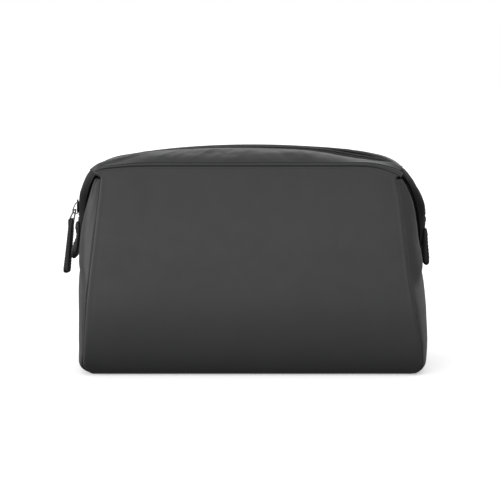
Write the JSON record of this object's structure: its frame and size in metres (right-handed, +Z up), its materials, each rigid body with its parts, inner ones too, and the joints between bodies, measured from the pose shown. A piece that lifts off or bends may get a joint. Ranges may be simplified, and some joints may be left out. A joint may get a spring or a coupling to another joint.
{
  "type": "wash bag",
  "caption": "Doctor-style zipped wash bag: leaning front and back panels, flat base, pleated ends, rounded zip shoulders, folded end tabs and a strap pull.",
  "frame": {"origin": "middle of the base panel's underside, on the surface the bag stands on", "axes": "+X along the zip towards the end away from the slider, +Y from the front panel to the back panel, +Z up"},
  "size_m": [0.2939, 0.13, 0.177],
  "materials": {
    "shell_fabric": "matte coated, dark grey",
    "band_fabric": "matte coated, dark grey",
    "zip_tape": "woven, black",
    "zip_coil": "satin, black",
    "lining_fabric": "woven nylon, grey",
    "binding_tape": "woven, black",
    "pocket_mesh": "open mesh, black",
    "elastic": "ribbed, black",
    "label_fabric": "smooth satin, off-white, blank",
    "stiffener_board": "matte board",
    "zip_metal": "dark nickel",
    "slider_metal": "dark gunmetal, satin",
    "wire_metal": "dark gunmetal wire",
    "strap_leather": "smooth, black",
    "tab_fabric": "coated, black"
  },
  "bodies": {
    "bag_body": {"base_panel": "shell_fabric", "base_board": "stiffener_board", "lining_base": "lining_fabric", "gusset_left": "shell_fabric", "gusset_right": "shell_fabric", "lining_left": "lining_fabric", "lining_right": "lining_fabric", "shoulder_band_left_front": "band_fabric", "shoulder_band_left_back": "band_fabric", "shoulder_band_right_front": "band_fabric", "shoulder_band_right_back": "band_fabric", "zip_tape_left_front": "zip_tape", "zip_tape_left_back": "zip_tape", "zip_tape_right_front": "zip_tape", "zip_tape_right_back": "zip_tape", "zip_coil_left_front": "zip_coil", "zip_coil_left_back": "zip_coil", "zip_coil_right_front": "zip_coil", "zip_coil_right_back": "zip_coil", "zip_stop_left": "zip_metal", "zip_stop_right": "zip_metal", "end_tab_left": "tab_fabric"},
    "front_half": {"front_panel": "shell_fabric", "lining_front": "lining_fabric", "slip_pocket": "lining_fabric", "seam_binding_front_left": "binding_tape", "seam_binding_front_right": "binding_tape", "seam_binding_top_front": "binding_tape", "top_band_front": "band_fabric", "zip_tape_front": "zip_tape", "zip_coil_front": "zip_coil"},
    "back_half": {"back_panel": "shell_fabric", "lining_back": "lining_fabric", "mesh_pocket": "pocket_mesh", "mesh_pocket_elastic": "elastic", "care_label": "label_fabric", "seam_binding_back_left": "binding_tape", "seam_binding_back_right": "binding_tape", "seam_binding_top_back": "binding_tape", "top_band_back": "band_fabric", "zip_tape_back": "zip_tape", "zip_coil_back": "zip_coil"},
    "zip_slider": {"slider_body": "slider_metal", "slider_crown": "slider_metal"},
    "bail": {"pull_bail": "wire_metal"},
    "strap": {"pull_strap": "strap_leather"},
    "right_tab": {"end_tab_right": "tab_fabric"}
  },
  "joints": [
    {"name": "front_open", "type": "hinge", "parent": "bag_body", "child": "front_half", "pos_m": [0, -0.057, 0.002], "axis": [1, 0, 0], "range_deg": [0, 12]},
    {"name": "back_open", "type": "hinge", "parent": "bag_body", "child": "back_half", "pos_m": [0, 0.057, 0.002], "axis": [-1, 0, 0], "range_deg": [0, 12]},
    {"name": "zip_slide", "type": "hinge", "parent": "bag_body", "child": "zip_slider", "pos_m": [-0.0975, 0, 0.1275], "axis": [0, 1, 0], "range_deg": [0, 22]},
    {"name": "bail_swing", "type": "hinge", "parent": "zip_slider", "child": "bail", "pos_m": [-0.14235, 0, 0.1247], "axis": [0, 1, 0], "range_deg": [0, 95]},
    {"name": "strap_swing", "type": "hinge", "parent": "bail", "child": "strap", "pos_m": [-0.14529, 0, 0.11567], "axis": [0, 1, 0], "range_deg": [0, 60]},
    {"name": "tab_lift", "type": "hinge", "parent": "bag_body", "child": "right_tab", "pos_m": [0.1384, 0, 0.1099], "axis": [0, -1, 0], "range_deg": [0, 70]}
  ]
}
